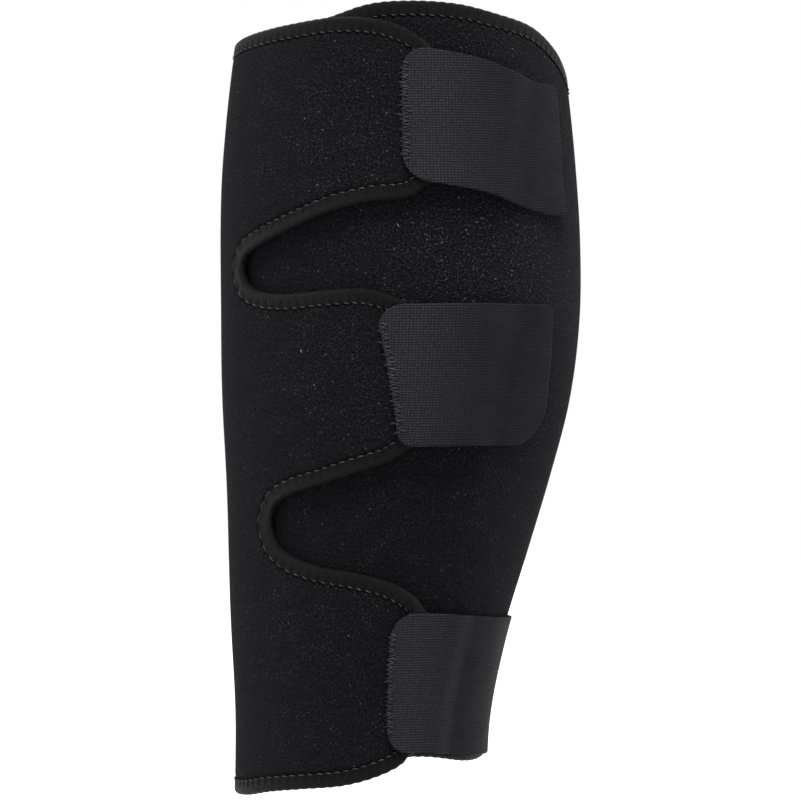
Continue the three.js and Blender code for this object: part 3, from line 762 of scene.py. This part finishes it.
def strap_columns(strap):
    """A strap's grid of flat points with the thickness, from its sewn edge to its free end."""
    width, edge = strap["width"], STRAP_EDGE_ROUND
    low_rows = EDGE_ROUND_STEPS * edge
    middle_rows = np.linspace(edge, width - edge, STRAP_ROWS)[1:-1]
    rows = np.concatenate([low_rows, middle_rows, width - low_rows[::-1]])

    def end_columns(angles, corners, direction):
        """Columns as (angle at the top, at the bottom, what a corner takes off the top, off the bottom)."""
        radii = [share * STRAP_WIDTH for share in corners]
        tops = angles[0] + direction * CORNER_STEPS * radii[0] / PER_DEGREE
        bottoms = angles[1] + direction * CORNER_STEPS * radii[1] / PER_DEGREE
        drops = [radius * (1 - np.sqrt(1 - (1 - CORNER_STEPS) ** 2)) for radius in radii]
        return np.stack([tops, bottoms, *drops], 1)

    sewn = end_columns(strap["sewn"], strap["sewn_corners"], 1)
    free = end_columns(strap["free"], strap["free_corners"], -1)[::-1]
    count = int(PER_DEGREE * (free[0, 0] - sewn[-1, 0]) / STRAP_COLUMN)
    middle = line_between(sewn[-1], free[0], count)[1:-1]
    top_angle, bottom_angle, top_drop, bottom_drop = np.concatenate([sewn, middle, free]).T
    top = strap_edge(strap, 1, top_angle) - np.stack([0 * top_drop, top_drop], 1)
    bottom = strap_edge(strap, -1, bottom_angle) + np.stack([0 * bottom_drop, bottom_drop], 1)
    grid = mix(bottom[None], top[None], (rows / width)[:, None, None])
    x = grid[..., 0]
    from_ends = np.minimum(np.abs(x - x[:, :1]), np.abs(x - x[:, -1:]))
    to_edge = np.minimum(np.minimum(rows, width - rows)[:, None], from_ends)
    share = np.clip(to_edge / edge, 0, 1)
    thickness = STRAP_THICKNESS * mix(STRAP_EDGE_THICKNESS, 1, np.sqrt(1 - (1 - share) ** 2))
    return np.concatenate([grid, thickness[..., None]], 2)


def strap_lift(strap, points):
    """How far a strap's underside lies from the leg: on its tab, then down to the turn below."""
    on_tab = SECOND_TURN_LIFT + PANEL_THICKNESS + BINDING_PROUD + CLEARANCE
    on_turn = PANEL_THICKNESS + STRAP_CLEARANCE
    angle = points[..., 0] / PER_DEGREE
    share = np.clip((points[..., 1] - strap_edge(strap, -1, angle)[..., 1]) / strap["width"], 0, 1)
    end = mix(strap["tab_end"][1], strap["tab_end"][0], share)
    past = (angle - end) * PER_DEGREE - STRAP_DROP_DELAY
    lift = mix(on_tab, on_turn, smooth(past / STRAP_DROP_LENGTH))
    from_corner = np.hypot((strap["free"][1] - angle) * PER_DEGREE, share * strap["width"])
    return lift + strap.get("corner_lift", 0) * smooth(1 - from_corner / CORNER_LIFT_REACH)


def strap_place(strap, points, above):
    """The real place of flat points at a distance above a strap's underside."""
    return wrap(points[..., 0], points[..., 1], strap_lift(strap, points) + above)


def make_strap(strap, material):
    """One strap of hook tape."""

    def place(points, side):
        above = STRAP_THICKNESS / 2 + side * points[:, 2] / 2
        return strap_place(strap, points[:, :2], above)

    quads = grid_quads(strap_columns(strap))
    return wall(f"hook_{strap['name']}", quads, place, material, strap_edge(strap, 0, min(strap["sewn"])))


def make_strap_stitches(strap, material):
    """The dense zigzag that sews the strap's left edge to its tab."""
    top_angle, bottom_angle = strap["sewn"]
    top_unsewn, bottom_unsewn = (UNSEWN_CORNER * STRAP_WIDTH * share for share in strap["sewn_corners"])
    low = strap_edge(strap, -1, bottom_angle) + [0, bottom_unsewn]
    high = strap_edge(strap, 1, top_angle) - [0, top_unsewn]
    count = int(np.linalg.norm(high - low) / ZIGZAG_PITCH)
    start = np.arange(count)[:, None] / count
    share = np.linspace(0, 1, ZIGZAG_POINTS)
    inwards = mix(ZIGZAG_OUTSIDE, ZIGZAG_INSIDE, share)[None] + 0 * start
    there = np.stack([inwards, start + 0.5 * share / count], -1)
    back = np.stack([inwards[:, ::-1], start + (0.5 + 0.5 * share) / count], -1)
    strokes = np.concatenate([there, back])
    strokes[..., 0] += rng.normal(0, ZIGZAG_WANDER, (2 * count, 1))
    strokes[..., 1] += rng.normal(0, ZIGZAG_UNEVENNESS / count, (2 * count, 1))
    points = mix(low, high, strokes[..., 1:2])
    points[..., 0] += strokes[..., 0]
    on_strap = smooth((strokes[..., 0] - STRAP_CLIMB_START) / STRAP_CLIMB)
    lift = STRAP_THICKNESS * on_strap + arched(share, ZIGZAG_RISE, ZIGZAG_SINK)
    paths = strap_place(strap, points, lift)
    return threads(paths, ZIGZAG_THREAD_RADIUS, THREAD_SIDES, f"{strap['name']}_stitches", material)


def make_lint(material):
    """A few stray pale fibres on the nap, each bent a little and arched over it."""
    paths = []
    share = np.linspace(-0.5, 0.5, LINT_POINTS)
    bend_along, bend_up = (bend * share**2 for bend in LINT_BEND)
    lift = PANEL_THICKNESS / 2 + LINT_LIFT * (1 + np.cos(share * np.pi))
    for angle, height, length, slant in LINT:
        x = angle * PER_DEGREE + length * (share * np.cos(slant) + bend_along)
        z = height * SLEEVE_HEIGHT + length * (share * np.sin(slant) + bend_up)
        paths.append(panel_place(np.stack([x, z], -1), lift))
    return threads(np.array(paths), LINT_RADIUS, LINT_SIDES, "lint", material)


class Nodes:
    """Short ways to add and join shader nodes. Patterns lie on the layout, in millimetres."""

    def __init__(self, tree):
        self.tree = tree
        self.layout = self.add("ShaderNodeAttribute", attribute_name="layout").outputs["Vector"]

    def add(self, kind, **settings):
        node = self.tree.nodes.new(kind)
        for key, value in settings.items():
            setattr(node, key, value)
        return node

    def join(self, source, socket):
        if isinstance(source, (int, float)):
            socket.default_value = source
        else:
            self.tree.links.new(source, socket)

    def math(self, operation, a, b=0.0, c=0.0):
        node = self.add("ShaderNodeMath", operation=operation)
        for source, socket in zip((a, b, c), node.inputs):
            self.join(source, socket)
        return node.outputs[0]

    def scaled(self, factors):
        node = self.add("ShaderNodeVectorMath", operation="MULTIPLY")
        self.join(self.layout, node.inputs[0])
        node.inputs[1].default_value = factors
        return node.outputs[0]

    def noise(self, scale, detail=3.0, roughness=0.55):
        node = self.add("ShaderNodeTexNoise")
        self.join(self.scaled(scale), node.inputs["Vector"])
        node.inputs["Scale"].default_value = 1
        node.inputs["Detail"].default_value = detail
        node.inputs["Roughness"].default_value = roughness
        return node.outputs["Fac"]

    def cells(self, scale):
        node = self.add("ShaderNodeTexVoronoi")
        self.join(self.scaled(scale), node.inputs["Vector"])
        node.inputs["Scale"].default_value = 1
        return node

    def ramp(self, value, low, high, start=0.0, end=1.0):
        node = self.add("ShaderNodeMapRange", interpolation_type="SMOOTHSTEP")
        self.join(value, node.inputs["Value"])
        for key, number in (("From Min", low), ("From Max", high), ("To Min", start), ("To Max", end)):
            node.inputs[key].default_value = number
        return node.outputs["Result"]

    def blend(self, share, a, b):
        node = self.add("ShaderNodeMix", data_type="RGBA")
        self.join(share, node.inputs["Factor"])
        for source, socket in ((a, node.inputs[6]), (b, node.inputs[7])):
            if isinstance(source, tuple):
                socket.default_value = (*source, 1)
            else:
                self.tree.links.new(source, socket)
        return node.outputs[2]

    def along(self, axis):
        """The place on the layout along one axis."""
        part = self.add("ShaderNodeSeparateXYZ")
        self.join(self.layout, part.inputs[0])
        return part.outputs[axis]

    def wave(self, axis, pitch):
        """A sine along an axis of the layout, from 0 to 1."""
        turn = self.math("MULTIPLY", self.along(axis), 2 * np.pi / pitch)
        return self.math("MULTIPLY_ADD", self.math("SINE", turn), 0.5, 0.5)

    def bump(self, height, distance, strength):
        node = self.add("ShaderNodeBump")
        node.inputs["Strength"].default_value = strength
        node.inputs["Distance"].default_value = distance
        self.join(height, node.inputs["Height"])
        return node.outputs["Normal"]


SHEEN_ROUGHNESS = 0.3


def fabric_material(name, base, roughness, specular, sheen, sheen_tint):
    """A Principled material whose even values sit on the shader itself, with its shader and its nodes."""
    material = bpy.data.materials.new(name)
    material.use_nodes = True
    shader = material.node_tree.nodes["Principled BSDF"]
    even_values = {
        "Base Color": (*base, 1),
        "Roughness": roughness,
        "Specular IOR Level": specular,
        "Sheen Weight": sheen,
        "Sheen Roughness": SHEEN_ROUGHNESS,
        "Sheen Tint": (*sheen_tint, 1),
    }
    for key, value in even_values.items():
        shader.inputs[key].default_value = value
    return material, shader, Nodes(material.node_tree)


def neoprene_material():
    """Brushed loop fabric: a matt nap of fine tufts, with flecks where fluffed loops catch the light."""
    hollow_colour, tuft_colour = (0.0012, 0.0012, 0.0015), (0.0067, 0.0065, 0.0083)
    loop_colour, fleck_colour = (0.068, 0.068, 0.074), (0.1, 0.1, 0.108)
    material, shader, n = fabric_material(
        "neoprene", base=(0.004, 0.004, 0.005), roughness=0.85, specular=0.03,
        sheen=0.024, sheen_tint=(0.8, 0.82, 0.9),
    )

    # Fluffed loops stand in tangles, more often where hooks have pulled at them
    fluff = n.add("ShaderNodeAttribute", attribute_name="fluff").outputs["Fac"]
    patches = n.noise((0.09, 0.12, 0.1), detail=3.0)
    tufts = n.noise((1.35, 1.2, 1.3), detail=2.0, roughness=0.7)
    hairs = n.noise((1.9, 2.6, 2.2), detail=1.0)
    often = n.math("ADD", fluff, n.ramp(patches, 0.38, 0.68, start=0.12, end=0.7))
    tangle = n.math("MULTIPLY", n.ramp(tufts, 0.54, 0.7), n.ramp(hairs, 0.42, 0.66, start=0.25, end=1.0))
    raised = n.math("MINIMUM", n.math("MULTIPLY", tangle, often), 1.0)

    # Flecks are the few cells whose own random number is high
    cells = n.cells((0.62, 0.7, 0.62))
    numbers = n.add("ShaderNodeSeparateColor")
    n.join(cells.outputs["Color"], numbers.inputs[0])
    chosen = n.ramp(numbers.outputs[0], 0.78, 1.0)
    spot = n.math("MULTIPLY", chosen, n.ramp(cells.outputs["Distance"], 0.3, 0.05))
    flecks = n.math("MULTIPLY", spot, n.math("MINIMUM", often, 1.0))

    fibres = n.noise((1.0, 0.85, 1.0), detail=5.0, roughness=0.8)
    colour = n.blend(n.ramp(fibres, 0.36, 0.64), hollow_colour, tuft_colour)
    colour = n.blend(flecks, n.blend(raised, colour, loop_colour), fleck_colour)
    n.join(colour, shader.inputs["Base Color"])

    pits = n.cells((1.0, 1.1, 1.0)).outputs["Distance"]
    height = n.math("SUBTRACT", fibres, n.math("MULTIPLY", pits, 0.5))
    height = n.math("ADD", height, n.math("MULTIPLY", tangle, n.math("MULTIPLY", often, 0.7)))
    n.join(n.bump(height, 0.0011, 0.9), shader.inputs["Normal"])
    return material


def tape_material():
    """Knitted tape with fine ribs across it, in places worn."""
    groove_colour, rib_colour = (0.0003, 0.0003, 0.0004), (0.0036, 0.0036, 0.004)
    worn_colour = (0.0027, 0.0026, 0.0022)
    rib_pitch = 0.68
    material, shader, n = fabric_material(
        "binding_tape", base=(0.004, 0.004, 0.004), roughness=0.5, specular=0.085,
        sheen=0.008, sheen_tint=(0.85, 0.85, 0.85),
    )
    yarn = n.noise((1.3, 0.9, 1.0), detail=4.0, roughness=0.75)
    worn = n.noise((0.07, 0.2, 0.1), detail=2.0)
    grain = n.math("MULTIPLY_ADD", n.wave(0, rib_pitch), 0.45, n.math("MULTIPLY", yarn, 0.9))
    colour = n.blend(n.ramp(grain, 0.35, 0.95), groove_colour, rib_colour)
    colour = n.blend(n.ramp(worn, 0.35, 0.7, start=0.0, end=0.35), colour, worn_colour)
    n.join(colour, shader.inputs["Base Color"])
    n.join(n.ramp(yarn, 0.3, 0.7, start=0.36, end=0.62), shader.inputs["Roughness"])
    n.join(n.bump(grain, 0.0007, 1.0), shader.inputs["Normal"])
    return material


def hook_material():
    """The woven back of hook tape: raised dots of yarn over fine ribs, fainter towards the free end, where
    the colour is darkened as painted shade.
    """
    dot_pitch_along, dot_pitch_across = 1.12, 0.98
    # Between these millimetres along the strap the dots fade and the colour passes from painted light to
    # painted shade
    fade_and_shade_start, fade_and_shade_end = 6, 48
    # Each pair is a colour at the sewn end, painted lighter as if lit, then at the free end, darker as
    # painted shade
    ground_lit_then_shaded = (0.0066, 0.0066, 0.0078), (0.0036, 0.0035, 0.0046)
    dot_lit_then_shaded = (0.043, 0.043, 0.0465), (0.0066, 0.0064, 0.008)
    patch_colour = (0.0105, 0.0104, 0.0118)
    material, shader, n = fabric_material(
        "hook_tape", base=(0.012, 0.012, 0.013), roughness=0.65, specular=0.06,
        sheen=0.028, sheen_tint=(0.88, 0.9, 0.95),
    )
    fade_and_painted_shade = n.ramp(n.along(0), fade_and_shade_start, fade_and_shade_end)
    across = n.wave(1, dot_pitch_across)
    dots = n.math("MULTIPLY", n.wave(0, dot_pitch_along), across)
    strength = n.math("MULTIPLY_ADD", fade_and_painted_shade, -0.55, 0.85)
    weave = n.math("MULTIPLY_ADD", dots, strength, n.math("MULTIPLY", across, 0.22))
    yarn = n.noise((1.3, 1.5, 1.0), detail=5.0, roughness=0.8)
    grain = n.math("MULTIPLY", weave, n.ramp(yarn, 0.36, 0.64, start=0.1, end=1.9))
    # Ground and dots darken towards the free end: painted shade, not a change in the tape's own colour
    ground_in_painted_light, dot_in_painted_light = n.blend(fade_and_painted_shade, *ground_lit_then_shaded), n.blend(fade_and_painted_shade, *dot_lit_then_shaded)
    patches = n.noise((0.05, 0.07, 0.05), detail=2.0)
    colour = n.blend(n.ramp(grain, 0.02, 0.9), ground_in_painted_light, dot_in_painted_light)
    colour = n.blend(n.ramp(patches, 0.35, 0.7, start=0.0, end=0.3), colour, patch_colour)
    n.join(colour, shader.inputs["Base Color"])
    n.join(n.bump(grain, 0.0006, 0.9), shader.inputs["Normal"])
    return material


def thread_material(name, dull, bright):
    """Twisted sewing thread, of which some stitches catch more light than others."""
    twist_along, twist_round = 9.0, 12.6
    material, shader, n = fabric_material(
        name, base=bright, roughness=0.5, specular=0.2, sheen=0.03, sheen_tint=(0.9, 0.9, 0.9)
    )
    turn = n.math("MULTIPLY_ADD", n.along(0), twist_along, n.math("MULTIPLY", n.along(1), twist_round))
    strand = n.math("MULTIPLY_ADD", n.math("SINE", turn), 0.5, 0.5)
    chosen = n.ramp(n.noise((0, 0, 0.23), detail=2.0), 0.38, 0.66)
    shade = n.math("MULTIPLY_ADD", strand, 0.4, n.math("MULTIPLY", chosen, 0.6))
    n.join(n.blend(shade, dull, bright), shader.inputs["Base Color"])
    n.join(n.bump(strand, 0.00006, 0.7), shader.inputs["Normal"])
    return material


def plain_material(name, colour, roughness):
    """A Principled material with nothing but a colour and a roughness."""
    material = bpy.data.materials.new(name)
    material.use_nodes = True
    shader = material.node_tree.nodes["Principled BSDF"]
    shader.inputs["Base Color"].default_value = (*colour, 1)
    shader.inputs["Roughness"].default_value = roughness
    return material


# The object's pieces, in the order in which they draw from the random numbers
panel_piece = make_panel(neoprene_material())
binding_piece = make_binding(tape_material())
edge_thread = thread_material("edge_thread", dull=(0.006, 0.006, 0.0065), bright=(0.038, 0.038, 0.04))
edge_stitches = make_edge_stitches(edge_thread)
hook = hook_material()
strap_thread = thread_material("strap_thread", dull=(0.004, 0.004, 0.0045), bright=(0.034, 0.034, 0.037))
strap_pieces = [make_strap(strap, hook) for strap in STRAPS]
strap_stitches = [make_strap_stitches(strap, strap_thread) for strap in STRAPS]
lint_fibre = thread_material("lint_fibre", dull=(0.12, 0.12, 0.13), bright=(0.4, 0.4, 0.4))
lint_piece = make_lint(lint_fibre)

for piece, node, slot in (
    (panel_piece, "panel", "neoprene"),
    (binding_piece, "binding", "binding_tape"),
    *((piece, strap["name"], "hook_tape") for piece, strap in zip(strap_pieces, STRAPS)),
):
    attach(piece, "root")
    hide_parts(node)
for piece, slot in (
    (edge_stitches, "binding_tape"),
    (lint_piece, "neoprene"),
    *((piece, "hook_tape") for piece in strap_stitches),
):
    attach(piece, "root")

# A plain pale floor well below the part, which is held up
FLOOR_DROP = 0.16
FLOOR_SIZE = 6.0
floor_paint = plain_material("floor_paint", (0.55, 0.55, 0.55), roughness=0.9)
floor_height = cad_box[0][2] - FLOOR_DROP
floor_corners = [
    (x * FLOOR_SIZE, y * FLOOR_SIZE, floor_height) for x, y in ((-1, -1), (1, -1), (1, 1), (-1, 1))
]
floor = make_object("floor", floor_corners, [[0, 1, 2, 3]], floor_paint)

# Camera at the photograph's angle: level, from the side where the sleeve closes
CAMERA_PLACE = (0.0002, -1.5, -0.001)
FRAME_WIDTH_AT_AXIS = 0.3124
SENSOR_WIDTH = 36
camera_data = bpy.data.cameras.new("camera")
camera_data.sensor_width = SENSOR_WIDTH
camera_data.lens = SENSOR_WIDTH * -CAMERA_PLACE[1] / FRAME_WIDTH_AT_AXIS
camera = bpy.data.objects.new("camera", camera_data)
camera.location = CAMERA_PLACE
camera.rotation_euler = (np.pi / 2, 0, 0)
bpy.context.scene.collection.objects.link(camera)
bpy.context.scene.camera = camera

# Soft studio light: a broad key from above, on the camera's side, in an evenly white surrounding
KEY_PLACE = Vector((0.05, -0.75, 2.0))
KEY_STRENGTH = 6.5
KEY_BREADTH = np.radians(30)
key_data = bpy.data.lights.new("key", "SUN")
key_data.energy = KEY_STRENGTH
key_data.angle = KEY_BREADTH
key = bpy.data.objects.new("key", key_data)
key.location = KEY_PLACE
key.rotation_euler = (-KEY_PLACE).to_track_quat("-Z", "Y").to_euler()
bpy.context.scene.collection.objects.link(key)

world = bpy.data.worlds.new("studio")
bpy.context.scene.world = world
world.use_nodes = True
backdrop = world.node_tree.nodes["Background"]
backdrop.inputs["Color"].default_value = (1, 1, 1, 1)
backdrop.inputs["Strength"].default_value = 1.0
bpy.context.scene.view_settings.view_transform = "Standard"
